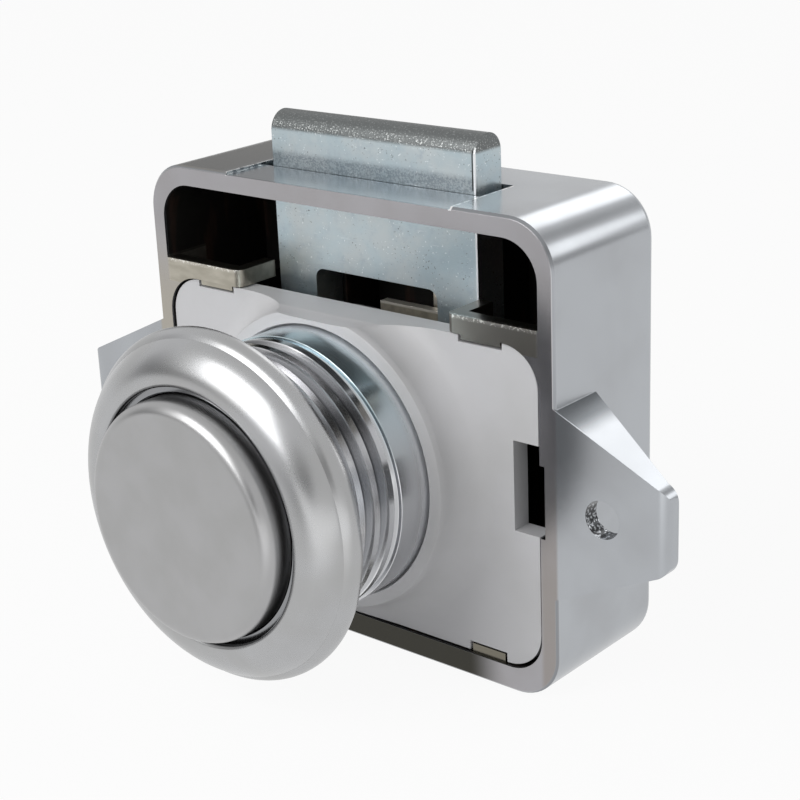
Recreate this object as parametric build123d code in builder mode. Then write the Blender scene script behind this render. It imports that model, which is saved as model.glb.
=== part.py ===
"""Push button cabinet lock, drawn locked: button in, bolt out.

Millimetres. Origin: where the button's axis crosses the mounting plane of the case (its front rim).
-Y runs along the button's axis, away from the case; +Z is the way the bolt stands out; +X is along
the line through the two ear holes.
"""
import math
import os

from build123d import *

os.makedirs("parts", exist_ok=True)

# Case
case_half_w = 18.8
case_top = 19.45
case_bottom = -15.0
case_depth = 12.0
case_corner_r = 3.6
cavity_half_w = 17.5
cavity_top = 17.95
cavity_bottom = -13.15
cavity_depth = 10.8
cavity_corner_r = 2.8
recess_floor_z = 19.25
slot_half_w = 10.45
slot_y0 = 4.0
slot_y1 = 7.1

# Ears
ear_tip_x = 27.5
ear_root_x = 18.0
ear_root_z = 7.22
ear_tip_z = 2.76
ear_tip_corner_r = 1.3
ear_front_edge_r = 0.8
ear_t = 1.3
ear_hole_x = 22.5
ear_hole_r = 1.35
flange_t = 1.1
flange_depth = 4.7
flange_tip_depth = 1.35

# Arms and tabs on the case's front
arm_z0 = 10.75
arm_z1 = 12.05
arm_end_x = 9.8
arm_t = 1.2
arm_back_y = 3.9
arm_bend_r = 0.7
arm_root_x = 17.7
arm_web_x = 14.5
arm_web_r = 3.0
tab_y0 = 0.25
tab_y1 = 0.9
tab_x0 = 10.9
tab_x1 = 14.2

# Inside the case
post_x0 = 14.6
post_w = 3.0
guide_x0 = 9.6
guide_x1 = 11.2
rib_x0 = 7.2
rib_x1 = 8.9
rib_front_y = slot_y1
rib_top_z = 18.2
rib_low_z = 7.6

# Cover
cover_half_w = 17.3
cover_top = 10.65
cover_bottom = -13.0
cover_y0 = 0.2
cover_y1 = 1.8
cover_corner_r = 2.9
cover_hole_r = 9.55
boss_y = -2.9
boss_hole_r = 10.3
boss_outer_r = 11.3
boss_seat_y = -2.25
flare_r = 2.6
flare_foot_r = 13.9

# Barrel
bore_r = 8.65
neck_r = 9.45
seat_r = 9.9
collar_r = 10.1
collar_y0 = -2.5
collar_y1 = -5.6
land_r = 9.85
crest_r = 10.0
crest_half_w = 0.25
root_r = 9.35
thread_pitch = 1.5
first_crest_y = -6.65
crest_count = 6
barrel_front_y = -14.9
barrel_back_y = 3.9
groove_r = 9.1

# Rosette
rosette_r = 12.65
rosette_groove_r = 12.0
rosette_back_y = -12.4
rosette_front_y = -15.5
rosette_bore_r = 10.1
mouth_r = 9.15
mouth_lip = 0.35

# Button
cap_r = 8.55
cap_face_y = -17.1
cap_edge_r = 0.9
cap_skirt_y = -4.0
cap_wall = 0.9
button_travel = 6.0
over_press = 0.8

# Plunger
tube_r = 4.6
tube_bore_r = 3.4
tube_front_y = -12.9
tube_front_t = 1.0
tube_back_y = 9.9
pad_half_w = 3.2
pad_top_z = 4.0
pin_r = 0.9
pin_y = 8.6
pin_z = -2.0
pin_x0 = 2.9
pin_x1 = 6.5

# Bolt
bolt_half_w = 9.5
bolt_y0 = 4.1
bolt_y1 = 7.0
bolt_bottom = -8.4
bolt_round_z = 21.85
bolt_travel = 4.6
window_half_w = 5.8
window_top = 11.95
cheek_x0 = 5.0
cheek_x1 = 6.6
cheek_r = 1.85
cheek_back_y = 10.5
slot_r = 0.95

# Latch
cam_y0 = 0.3
cam_y1 = 9.8
cam_top_z = 5.2
cam_groove = 0.85
cam_lane_w = 1.1
wire_r = 0.4
tip_y = 2.2
pivot_y = 9.2
wire_z = 5.7
swing_at_travel = math.radians(16.6)
bracket_z0 = 6.35
bracket_t = 0.8
bracket_x0 = -2.28
bracket_x1 = 6.2
bracket_lip_top = 9.2
bracket_leg_x = 1.4
bracket_leg_top = 12.8
bracket_face_y = 9.0
bracket_back_y = 9.8
bracket_front_y = 7.2
bracket_screw_x = 3.8
bracket_screw_z = (8.5, 11.3)
cam_screw_xy = ((-2.3, 8.9), (2.3, 1.3))
rivet_x = -1.65
rivet_y = 8.65


def face_at(y):
    """Sketch plane parallel to the mounting plane; sketch X is +X and sketch Y is +Z."""
    return Plane(origin=(0, y, 0), x_dir=(1, 0, 0), z_dir=(0, -1, 0))


def side_at(x):
    """Sketch plane square to X; sketch X is +Y and sketch Y is +Z."""
    return Plane(origin=(x, 0, 0), x_dir=(0, 1, 0), z_dir=(1, 0, 0))


def block(x0, x1, y0, y1, z0, z1, mode=Mode.ADD):
    """A box between the given faces."""
    with Locations(((x0 + x1) / 2, (y0 + y1) / 2, (z0 + z1) / 2)):
        Box(x1 - x0, y1 - y0, z1 - z0, mode=mode)


def sided(s, x0, x1):
    """The span x0 to x1 on the +X side, or its mirror image for s = -1, lower end first."""
    return (x0, x1) if s > 0 else (-x1, -x0)


def rod_y(x, z, y0, y1, r, mode=Mode.ADD):
    """A round rod along Y."""
    with Locations(Location((x, (y0 + y1) / 2, z), (90, 0, 0))):
        Cylinder(r, y1 - y0, mode=mode)


def rod_z(x, y, z0, z1, r, mode=Mode.ADD):
    """A round rod along Z."""
    with Locations((x, y, (z0 + z1) / 2)):
        Cylinder(r, z1 - z0, mode=mode)


def capsule(a, b, r):
    """A slot-shaped sketch face of radius r between the points a and b."""
    length = math.hypot(b[0] - a[0], b[1] - a[1])
    turn = math.degrees(math.atan2(b[1] - a[1], b[0] - a[0]))
    with Locations(((a[0] + b[0]) / 2, (a[1] + b[1]) / 2)):
        SlotCenterToCenter(length, 2 * r, rotation=turn)


# Housing: shell first, then what is cast on it
mid_z = (case_top + case_bottom) / 2
ear_slope = math.atan2(ear_root_z - ear_tip_z, ear_tip_x - ear_root_x)
flange_dx = flange_t * math.sin(ear_slope)
flange_dz = flange_t * math.cos(ear_slope)
flange_end_x = ear_tip_x - 0.9
flange_end_z = ear_tip_z + 0.9 * math.tan(ear_slope)
with BuildPart() as ears:
    with BuildSketch(face_at(0)) as ear_outline:
        for s in (1, -1):
            with BuildLine():
                Polyline(
                    (s * ear_root_x, ear_root_z),
                    (s * ear_tip_x, ear_tip_z),
                    (s * ear_tip_x, -ear_tip_z),
                    (s * ear_root_x, -ear_root_z),
                    close=True,
                )
            make_face()
        tip_corners = ear_outline.vertices().filter_by(lambda v: abs(v.X) > ear_tip_x - 0.1)
        fillet(tip_corners, radius=ear_tip_corner_r)
    extrude(amount=-ear_t)
    # Flanges turned back along the sloping edges
    with BuildSketch(face_at(0)):
        for s in (1, -1):
            for t in (1, -1):
                with BuildLine():
                    Polyline(
                        (s * ear_root_x, t * ear_root_z),
                        (s * flange_end_x, t * flange_end_z),
                        (s * (flange_end_x - flange_dx), t * (flange_end_z - flange_dz)),
                        (s * (ear_root_x - flange_dx), t * (ear_root_z - flange_dz)),
                        close=True,
                    )
                make_face()
    extrude(amount=-flange_depth)
    # Side profile: rounded front edge at the tip, flanges falling away towards it
    front_arc = ear_front_edge_r * (1 - math.sqrt(0.5))
    with BuildSketch(Plane.XY.offset(-ear_root_z - 1)):
        for s in (1, -1):
            with BuildLine():
                Polyline(
                    (s * ear_tip_x, ear_front_edge_r),
                    (s * ear_tip_x, flange_tip_depth),
                    (s * flange_end_x, flange_tip_depth),
                    (s * case_half_w, flange_depth),
                    (s * 17.0, flange_depth),
                    (s * 17.0, 0),
                    (s * (ear_tip_x - ear_front_edge_r), 0),
                )
                ThreePointArc(
                    (s * (ear_tip_x - ear_front_edge_r), 0),
                    (s * (ear_tip_x - front_arc), front_arc),
                    (s * ear_tip_x, ear_front_edge_r),
                )
            make_face()
    extrude(amount=2 * ear_root_z + 2, mode=Mode.INTERSECT)
    for s in (1, -1):
        rod_y(s * ear_hole_x, 0, -1, ear_t + 1, ear_hole_r, mode=Mode.SUBTRACT)

with BuildPart() as housing:
    with BuildSketch(face_at(0)):
        with Locations((0, mid_z)):
            RectangleRounded(2 * case_half_w, case_top - case_bottom, case_corner_r)
    extrude(amount=-case_depth)
    fillet(housing.faces().sort_by(Axis.Y)[-1].edges(), radius=0.8)
    chamfer(housing.faces().sort_by(Axis.Y)[0].edges(), length=0.2)
    add(ears.part)
    # Cavity
    cavity_mid = (cavity_top + cavity_bottom) / 2
    with BuildSketch(face_at(-1)):
        with Locations((0, cavity_mid)):
            RectangleRounded(2 * cavity_half_w, cavity_top - cavity_bottom, cavity_corner_r)
    extrude(amount=-cavity_depth - 1, mode=Mode.SUBTRACT)
    # Shallow seat and slot for the bolt in the top wall
    block(-slot_half_w, slot_half_w, -1, slot_y1, recess_floor_z, case_top + 1, mode=Mode.SUBTRACT)
    block(-slot_half_w, slot_half_w, slot_y0, slot_y1, cavity_top - 1, case_top + 1, mode=Mode.SUBTRACT)
    # Arms with their ends turned back
    with BuildSketch(Plane.XY.offset(arm_z0)):
        for s in (1, -1):
            with BuildLine():
                Polyline(
                    (s * (arm_end_x + arm_bend_r), 0),
                    (s * arm_root_x, 0),
                    (s * arm_root_x, arm_t),
                    (s * (arm_end_x + 1.1), arm_t),
                    (s * (arm_end_x + 1.1), arm_back_y),
                    (s * arm_end_x, arm_back_y),
                    (s * arm_end_x, arm_bend_r),
                )
                ThreePointArc(
                    (s * arm_end_x, arm_bend_r),
                    (s * (arm_end_x + 0.2929 * arm_bend_r), 0.2929 * arm_bend_r),
                    (s * (arm_end_x + arm_bend_r), 0),
                )
            make_face()
    extrude(amount=arm_z1 - arm_z0)
    # Webs that carry the arms, rounded under them
    web_low_z = arm_z0 - arm_web_r
    with BuildSketch(face_at(0)):
        for s in (1, -1):
            with BuildLine():
                Polyline(
                    (s * arm_web_x, arm_z0),
                    (s * arm_web_x, arm_z0 + 0.3),
                    (s * arm_root_x, arm_z0 + 0.3),
                    (s * arm_root_x, web_low_z),
                    (s * (arm_web_x + arm_web_r), web_low_z),
                )
                ThreePointArc(
                    (s * (arm_web_x + arm_web_r), web_low_z),
                    (s * (arm_web_x + 0.7071 * arm_web_r), web_low_z + 0.7071 * arm_web_r),
                    (s * arm_web_x, arm_z0),
                )
            make_face()
    extrude(amount=-arm_t)
    floor_y = cavity_depth + 0.2
    for s in (1, -1):
        # Tabs over the cover, and the shallow relief in the rim beside the cover's notch
        block(*sided(s, tab_x0, tab_x1), tab_y0, tab_y1, 10.3, arm_z0 + 0.1)
        block(*sided(s, tab_x0 + 0.3, tab_x1 - 0.1), tab_y0, tab_y1, cavity_bottom - 0.1, -12.45)
        block(*sided(s, cavity_half_w - 0.1, cavity_half_w + 0.4), -1, 1.6, -2.6, 2.7, mode=Mode.SUBTRACT)
        # Posts that the cover rests on
        block(*sided(s, post_x0, post_x0 + post_w), cover_y1, floor_y, 6.4, 6.4 + post_w)
        block(*sided(s, post_x0, post_x0 + post_w), cover_y1, floor_y, -13.3, -13.3 + post_w)
        # Side guides of the bolt, and the ribs behind it
        block(*sided(s, guide_x0, guide_x1), slot_y0, floor_y, -12.0, 8.0)
        block(*sided(s, rib_x0, rib_x1), rib_front_y, floor_y, -12.5, rib_top_z)
    block(-rib_x1, -5.5, rib_front_y, floor_y, rib_low_z, rib_top_z)
    block(6.4, rib_x1, rib_front_y, floor_y, rib_low_z, rib_top_z)
    # Boss of the latch bracket
    block(bracket_leg_x, bracket_x1, bracket_back_y, floor_y, bracket_z0, 13.0)
    for z in bracket_screw_z:
        rod_y(bracket_screw_x, z, 9.0, 11.5, 0.8, mode=Mode.SUBTRACT)
housing.part.label = "housing"
export_step(housing.part, "parts/housing.step")

# Cover with its raised collar
flare_y = cover_y0 - flare_r
with BuildPart() as cover_plate:
    with BuildSketch(face_at(cover_y0)):
        with Locations((0, (cover_top + cover_bottom) / 2)):
            RectangleRounded(2 * cover_half_w, cover_top - cover_bottom, cover_corner_r)
    extrude(amount=-(cover_y1 - cover_y0))
    with BuildSketch(Plane.XY):
        with BuildLine():
            Polyline(
                (boss_outer_r, flare_y),
                (boss_outer_r - 0.15, flare_y - 0.35),
                (boss_outer_r - 0.5, boss_y),
                (boss_hole_r, boss_y),
                (boss_hole_r - 0.15, boss_seat_y),
                (cover_hole_r, boss_seat_y),
                (cover_hole_r, cover_y1),
                (flare_foot_r, cover_y1),
                (flare_foot_r, cover_y0),
            )
            ThreePointArc(
                (flare_foot_r, cover_y0),
                (flare_foot_r - flare_r * 0.7071, flare_y + flare_r * 0.7071),
                (boss_outer_r, flare_y),
            )
        make_face()
    revolve(axis=Axis.Y)
    rod_y(0, 0, -5, 5, cover_hole_r, mode=Mode.SUBTRACT)
    block(-20, 20, -5, 5, cover_top, 20, mode=Mode.SUBTRACT)
    block(-20, 20, -5, 5, -20, cover_bottom, mode=Mode.SUBTRACT)
    for s in (1, -1):
        # Notches under the case's tabs, and at the sides
        block(*sided(s, tab_x0 - 0.2, tab_x1 + 0.2), 0, tab_y1 + 0.05, 10.15, 12, mode=Mode.SUBTRACT)
        block(*sided(s, tab_x0 + 0.1, tab_x1 + 0.1), 0, tab_y1 + 0.05, -14, -12.3, mode=Mode.SUBTRACT)
        block(*sided(s, 15.2, 18.0), 0, 3, -2.65, 3.95, mode=Mode.SUBTRACT)
cover_plate.part.label = "cover_plate"
export_step(cover_plate.part, "parts/cover_plate.step")

# Barrel: neck, collar and thread
outline = [
    (bore_r, barrel_back_y),
    (neck_r, barrel_back_y),
    (neck_r, 3.2),
    (groove_r, 3.2),
    (groove_r, 2.45),
    (neck_r, 2.45),
    (neck_r, boss_seat_y - 0.05),
    (seat_r, boss_seat_y - 0.05),
    (seat_r, collar_y0),
    (collar_r - 0.1, collar_y0),
    (collar_r, collar_y0 - 0.1),
    (collar_r, collar_y1 + 0.15),
    (land_r, collar_y1 - 0.1),
    (land_r, first_crest_y + crest_half_w),
]
for i in range(crest_count):
    yc = first_crest_y - i * thread_pitch
    if i > 0:
        outline.append((root_r, yc + thread_pitch / 2))
    outline.append((crest_r - 0.05, yc + crest_half_w))
    outline.append((crest_r, yc + crest_half_w - 0.05))
    outline.append((crest_r, yc - crest_half_w + 0.05))
    outline.append((crest_r - 0.05, yc - crest_half_w))
outline.append((root_r, barrel_front_y + 0.15))
outline.append((root_r, barrel_front_y))
outline.append((bore_r, barrel_front_y))
with BuildPart() as barrel:
    with BuildSketch(Plane.XY):
        with BuildLine():
            Polyline(*outline, close=True)
        make_face()
    revolve(axis=Axis.Y)
barrel.part.label = "barrel"
export_step(barrel.part, "parts/barrel.step")

with BuildPart() as barrel_washer:
    rod_y(0, 0, 1.85, 2.35, 10.4)
    rod_y(0, 0, 1.8, 2.4, 9.55, mode=Mode.SUBTRACT)
barrel_washer.part.label = "barrel_washer"
export_step(barrel_washer.part, "parts/barrel_washer.step")

with BuildPart() as barrel_ring:
    rod_y(0, 0, 2.48, 3.17, 10.2)
    rod_y(0, 0, 2.4, 3.3, groove_r + 0.02, mode=Mode.SUBTRACT)
    block(-2.0, 2.0, 2.4, 3.3, -11, -8, mode=Mode.SUBTRACT)
barrel_ring.part.label = "barrel_ring"
export_step(barrel_ring.part, "parts/barrel_ring.step")

# Rosette
groove_y = rosette_back_y - 0.7
with BuildPart() as rosette:
    with BuildSketch(Plane.XY):
        with BuildLine():
            Polyline(
                (rosette_r, rosette_back_y - 0.15),
                (rosette_r - 0.15, rosette_back_y),
                (rosette_bore_r, rosette_back_y),
                (rosette_bore_r, barrel_front_y - 0.07),
                (mouth_r, barrel_front_y - 0.07),
                (mouth_r, rosette_front_y + mouth_lip),
            )
            # Rounded lip of the mouth, domed front, groove, rounded rim
            ThreePointArc(
                (mouth_r, rosette_front_y + mouth_lip),
                (mouth_r + 0.2929 * mouth_lip, rosette_front_y + 0.2929 * mouth_lip),
                (mouth_r + mouth_lip, rosette_front_y),
            )
            ThreePointArc(
                (mouth_r + mouth_lip, rosette_front_y),
                (11.15, -14.75),
                (rosette_groove_r, groove_y - 0.12),
            )
            Line((rosette_groove_r, groove_y - 0.12), (rosette_groove_r, groove_y))
            ThreePointArc(
                (rosette_groove_r, groove_y),
                (rosette_r - 0.15, groove_y + 0.22),
                (rosette_r, rosette_back_y - 0.15),
            )
        make_face()
    revolve(axis=Axis.Y)
rosette.part.label = "rosette"
export_step(rosette.part, "parts/rosette.step")

# Button cap
cap_inner_y = cap_face_y + 1.1
with BuildPart() as button_cap:
    with BuildSketch(Plane.XY):
        with BuildLine():
            Polyline(
                (cap_r, cap_face_y + cap_edge_r),
                (cap_r, cap_skirt_y),
                (cap_r - cap_wall, cap_skirt_y),
                (cap_r - cap_wall, cap_inner_y),
                (2.9, cap_inner_y),
                (2.9, tube_front_y - 0.02),
                (1.0, tube_front_y - 0.02),
                (1.0, cap_inner_y - 0.2),
                (0, cap_inner_y - 0.2),
                (0, cap_face_y),
                (cap_r - cap_edge_r, cap_face_y),
            )
            ThreePointArc(
                (cap_r - cap_edge_r, cap_face_y),
                (cap_r - cap_edge_r * 0.2929, cap_face_y + cap_edge_r * 0.2929),
                (cap_r, cap_face_y + cap_edge_r),
            )
        make_face()
    revolve(axis=Axis.Y)
button_cap.part.label = "button_cap"
export_step(button_cap.part, "parts/button_cap.step")

# Plunger: flange in the cap, tube round the spring, pad for the cam
with BuildPart() as plunger:
    rod_y(0, 0, tube_front_y, tube_front_y + tube_front_t, cap_r - cap_wall - 0.03)
    rod_y(0, 0, tube_front_y, tube_back_y, tube_r)
    block(-pad_half_w, pad_half_w, 0.2, tube_back_y, 2.0, pad_top_z)
    block(-6, 6, 0.2, tube_back_y + 1, pad_top_z, 6, mode=Mode.SUBTRACT)
    rod_y(0, 0, tube_front_y + tube_front_t, tube_back_y + 1, tube_bore_r, mode=Mode.SUBTRACT)
    rod_y(0, 0, tube_front_y - 1, 0, 1.3, mode=Mode.SUBTRACT)
    with Locations(Location((0, pin_y, pin_z), (0, 90, 0))):
        Cylinder(pin_r, 12, mode=Mode.SUBTRACT)
    for x, y in cam_screw_xy:
        rod_z(x, y, 2.7, 4.5, 0.5, mode=Mode.SUBTRACT)
plunger.part.label = "plunger"
export_step(plunger.part, "parts/plunger.step")

with BuildPart() as cap_screw:
    rod_y(0, 0, -15.9, -11.85, 1.0)
    rod_y(0, 0, -11.87, -10.75, 2.1)
    fillet(cap_screw.faces().sort_by(Axis.Y)[-1].edges(), radius=0.4)
    block(-1.5, 1.5, -11.3, -10, -0.25, 0.25, mode=Mode.SUBTRACT)
    block(-0.25, 0.25, -11.3, -10, -1.5, 1.5, mode=Mode.SUBTRACT)
cap_screw.part.label = "cap_screw"
export_step(cap_screw.part, "parts/cap_screw.step")

with BuildPart() as drive_pins:
    for s in (1, -1):
        with Locations(Location((s * (pin_x0 + pin_x1) / 2, pin_y, pin_z), (0, 90, 0))):
            Cylinder(pin_r, pin_x1 - pin_x0)
drive_pins.part.label = "drive_pins"
export_step(drive_pins.part, "parts/drive_pins.step")

# Heart cam: the release lane follows the wire's coupled swing, the other lane lets it back round the island
lane = []
for i in range(7):
    s = -over_press + (button_travel + over_press) * i / 6
    angle = swing_at_travel * s / button_travel
    arm = pivot_y - tip_y
    lane.append((arm * math.sin(angle), pivot_y - arm * math.cos(angle) + s))
back_lane = [lane[-1], (0.2, 7.9), (-1.9, 5.6), (-2.1, 2.6), (-1.5, 1.3), lane[0]]
with BuildPart() as heart_cam:
    block(-pad_half_w, pad_half_w, cam_y0, cam_y1, pad_top_z, cam_top_z)
    with BuildSketch(Plane.XY.offset(cam_top_z)):
        for a, b in zip(lane[:-1], lane[1:]):
            capsule(a, b, cam_lane_w / 2)
        for a, b in zip(back_lane[:-1], back_lane[1:]):
            capsule(a, b, cam_lane_w / 2)
    extrude(amount=-cam_groove, mode=Mode.SUBTRACT)
    for x, y in cam_screw_xy:
        rod_z(x, y, pad_top_z - 1, cam_top_z + 1, 0.52, mode=Mode.SUBTRACT)
        with Locations((x, y, cam_top_z - 0.2)):
            Cone(0.52, 0.87, 0.4, mode=Mode.SUBTRACT)
heart_cam.part.label = "heart_cam"
export_step(heart_cam.part, "parts/heart_cam.step")

with BuildPart() as cam_screws:
    for x, y in cam_screw_xy:
        rod_z(x, y, 2.75, cam_top_z - 0.1, 0.5)
        with Locations((x, y, cam_top_z - 0.2)):
            Cone(0.5, 0.8, 0.36)
cam_screws.part.label = "cam_screws"
export_step(cam_screws.part, "parts/cam_screws.step")

# Follower wire and what holds it
with BuildPart() as follower:
    with BuildLine() as wire_path:
        FilletPolyline(
            (0, tip_y, 4.42),
            (0, tip_y, wire_z),
            (0, pivot_y, wire_z),
            (0, pivot_y, 8.1),
            radius=0.6,
        )
    with BuildSketch(Plane(origin=(0, tip_y, 4.42), z_dir=(0, 0, 1))):
        Circle(wire_r)
    sweep(path=wire_path.line)
follower.part.label = "follower"
export_step(follower.part, "parts/follower.step")

with BuildPart() as follower_clip:
    rod_z(0, pivot_y, 7.2, 7.6, 1.0)
    rod_z(0, pivot_y, 7.0, 8.0, wire_r, mode=Mode.SUBTRACT)
    block(-0.12, 0.12, pivot_y - 1.2, pivot_y, 7.0, 8.0, mode=Mode.SUBTRACT)
follower_clip.part.label = "follower_clip"
export_step(follower_clip.part, "parts/follower_clip.step")

with BuildPart() as follower_spring:
    block(-2.0, 1.6, 3.0, 8.4, 6.13, 6.33)
    block(-2.2, -1.1, 7.9, 9.2, 6.13, 6.33)
    rod_z(rivet_x, rivet_y, 6.0, 6.5, 0.4, mode=Mode.SUBTRACT)
follower_spring.part.label = "follower_spring"
export_step(follower_spring.part, "parts/follower_spring.step")

with BuildPart() as spring_rivet:
    rod_z(rivet_x, rivet_y, 5.85, 6.12, 0.6)
    rod_z(rivet_x, rivet_y, 6.0, 7.45, 0.4)
    rod_z(rivet_x, rivet_y, 7.17, 7.45, 0.6)
spring_rivet.part.label = "spring_rivet"
export_step(spring_rivet.part, "parts/spring_rivet.step")

with BuildPart() as latch_bracket:
    block(bracket_x0, bracket_x1, bracket_front_y, bracket_back_y, bracket_z0, bracket_z0 + bracket_t)
    block(bracket_x0, 5.5, bracket_front_y, bracket_front_y + bracket_t, bracket_z0, bracket_lip_top)
    block(bracket_leg_x, bracket_x1, bracket_face_y, bracket_back_y, bracket_z0, bracket_leg_top)
    rod_z(0, pivot_y, 6.0, 8.0, wire_r + 0.06, mode=Mode.SUBTRACT)
    rod_z(rivet_x, rivet_y, 6.0, 7.3, 0.4, mode=Mode.SUBTRACT)
    for z in bracket_screw_z:
        rod_y(bracket_screw_x, z, 8.8, 10, 0.9, mode=Mode.SUBTRACT)
latch_bracket.part.label = "latch_bracket"
export_step(latch_bracket.part, "parts/latch_bracket.step")

with BuildPart() as bracket_screws:
    for z in bracket_screw_z:
        rod_y(bracket_screw_x, z, 8.3, bracket_face_y - 0.01, 1.35)
        rod_y(bracket_screw_x, z, 8.7, 11.4, 0.8)
        block(bracket_screw_x - 1, bracket_screw_x + 1, 8.2, 8.6, z - 0.2, z + 0.2, mode=Mode.SUBTRACT)
bracket_screws.part.label = "bracket_screws"
export_step(bracket_screws.part, "parts/bracket_screws.step")

# Button spring and its seat
spring_y0 = tube_front_y + tube_front_t + 0.35
spring_y1 = 10.0
coil_r = 2.85
coil_wire_r = 0.3
with BuildPart() as button_spring:
    with BuildLine() as coil:
        Helix(
            pitch=(spring_y1 - spring_y0) / 9,
            height=spring_y1 - spring_y0,
            radius=coil_r,
            center=(0, spring_y0, 0),
            direction=(0, 1, 0),
        )
    with BuildSketch(Plane(origin=coil.line @ 0, z_dir=coil.line % 0)):
        Circle(coil_wire_r)
    sweep(path=coil.line, is_frenet=True)
button_spring.part.label = "button_spring"
export_step(button_spring.part, "parts/button_spring.step")

with BuildPart() as spring_seat:
    rod_y(0, 0, 10.35, 10.78, 3.1)
    rod_y(0, 0, 9.2, 10.5, 2.35)
    chamfer(spring_seat.faces().sort_by(Axis.Y)[0].edges(), length=0.3)
spring_seat.part.label = "spring_seat"
export_step(spring_seat.part, "parts/spring_seat.step")

# Bolt: head and plate with the fork, and a slotted cheek on each leg
slope = bolt_travel / button_travel
front_end = (pin_y - button_travel - 0.1, pin_z + (button_travel + 0.1) * slope)
back_end = (pin_y + over_press + 0.1, pin_z - (over_press + 0.1) * slope)
far_end = (pin_y + 3.0, pin_z - 3.0 * slope)
bolt_mid_y = (bolt_y0 + bolt_y1) / 2
with BuildPart() as bolt:
    with BuildSketch(side_at(-bolt_half_w)):
        with BuildLine():
            Polyline(
                (bolt_y0, bolt_round_z),
                (bolt_y0, bolt_bottom),
                (bolt_y1, bolt_bottom),
                (bolt_y1, bolt_round_z),
            )
            ThreePointArc(
                (bolt_y1, bolt_round_z),
                (bolt_mid_y, bolt_round_z + (bolt_y1 - bolt_y0) / 2),
                (bolt_y0, bolt_round_z),
            )
        make_face()
    extrude(amount=2 * bolt_half_w)
    with BuildSketch(face_at(bolt_y0 - 1)):
        with Locations((0, (window_top + bolt_bottom - 5) / 2)):
            RectangleRounded(2 * window_half_w, window_top - bolt_bottom + 5, 0.8)
    extrude(amount=-5, mode=Mode.SUBTRACT)
    for s in (1, -1):
        with BuildSketch(side_at(min(s * cheek_x0, s * cheek_x1))):
            capsule(front_end, far_end, cheek_r)
        extrude(amount=cheek_x1 - cheek_x0)
        block(
            min(s * 4.9, s * 6.7), max(s * 4.9, s * 6.7), cheek_back_y, 16, -20, 10, mode=Mode.SUBTRACT
        )
        with BuildSketch(side_at(min(s * 4.9, s * cheek_x1))):
            capsule(front_end, far_end, slot_r)
        extrude(amount=cheek_x1 - 4.9, mode=Mode.SUBTRACT)
bolt.part.label = "bolt"
export_step(bolt.part, "parts/bolt.step")
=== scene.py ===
"""Looks of the push button cabinet lock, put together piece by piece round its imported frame.

The lock stands on the bottom of its case, button towards -Y and bolt out of the top, locked.
Sizes are in millimetres and are scaled by MM into Blender's metres.
"""
import math

import bmesh
import bpy
from mathutils import Matrix, Vector


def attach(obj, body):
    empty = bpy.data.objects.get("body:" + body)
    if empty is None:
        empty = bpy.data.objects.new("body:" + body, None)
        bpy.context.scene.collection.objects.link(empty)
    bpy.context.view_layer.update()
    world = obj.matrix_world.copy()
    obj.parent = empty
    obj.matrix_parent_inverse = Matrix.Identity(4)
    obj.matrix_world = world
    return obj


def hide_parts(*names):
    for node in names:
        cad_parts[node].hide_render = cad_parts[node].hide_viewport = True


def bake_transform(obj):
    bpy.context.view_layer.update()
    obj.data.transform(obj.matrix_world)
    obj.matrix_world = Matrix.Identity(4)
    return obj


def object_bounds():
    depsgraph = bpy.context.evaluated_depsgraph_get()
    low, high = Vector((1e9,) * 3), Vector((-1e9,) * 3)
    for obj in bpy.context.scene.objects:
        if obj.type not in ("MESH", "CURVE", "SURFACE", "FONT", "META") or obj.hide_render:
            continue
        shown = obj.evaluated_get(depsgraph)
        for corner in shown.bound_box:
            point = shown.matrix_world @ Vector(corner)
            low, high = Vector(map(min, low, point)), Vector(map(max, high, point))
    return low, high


MM = 0.001
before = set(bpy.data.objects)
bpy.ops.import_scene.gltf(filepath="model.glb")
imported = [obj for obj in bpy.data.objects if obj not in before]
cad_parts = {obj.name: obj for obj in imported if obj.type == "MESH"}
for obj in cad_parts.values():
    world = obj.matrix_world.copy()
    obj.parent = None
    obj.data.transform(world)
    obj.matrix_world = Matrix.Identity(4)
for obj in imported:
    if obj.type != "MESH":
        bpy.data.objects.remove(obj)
cad_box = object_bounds()

# The camera, where the photograph's edges and circles put it.
camera_place = Vector((84.423, -91.135, 47.904)) * MM
camera_yaw = math.radians(41.863)
camera_pitch = math.radians(20.03)
camera_roll = math.radians(-2.758)
image_px = 800
focal_px = 1822.2
centre_px = (371.77, 414.80)
forward = Vector(
    (
        -math.sin(camera_yaw) * math.cos(camera_pitch),
        math.cos(camera_yaw) * math.cos(camera_pitch),
        -math.sin(camera_pitch),
    )
)
level = forward.cross(Vector((0, 0, 1))).normalized()
upright = level.cross(forward)
camera_right = level * math.cos(camera_roll) + upright * math.sin(camera_roll)
camera_up = upright * math.cos(camera_roll) - level * math.sin(camera_roll)
lens = bpy.data.cameras.new("camera")
lens.sensor_width = 36.0
lens.lens = focal_px * lens.sensor_width / image_px
lens.shift_x = (image_px / 2 - centre_px[0]) / image_px
lens.shift_y = (centre_px[1] - image_px / 2) / image_px
lens.clip_start = 0.005
lens.clip_end = 20.0
camera = bpy.data.objects.new("camera", lens)
turn = Matrix((camera_right, camera_up, -forward)).transposed()
camera.matrix_world = Matrix.Translation(camera_place) @ turn.to_4x4()
bpy.context.scene.collection.objects.link(camera)
bpy.context.scene.camera = camera
bpy.context.scene.view_settings.view_transform = "Standard"


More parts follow.
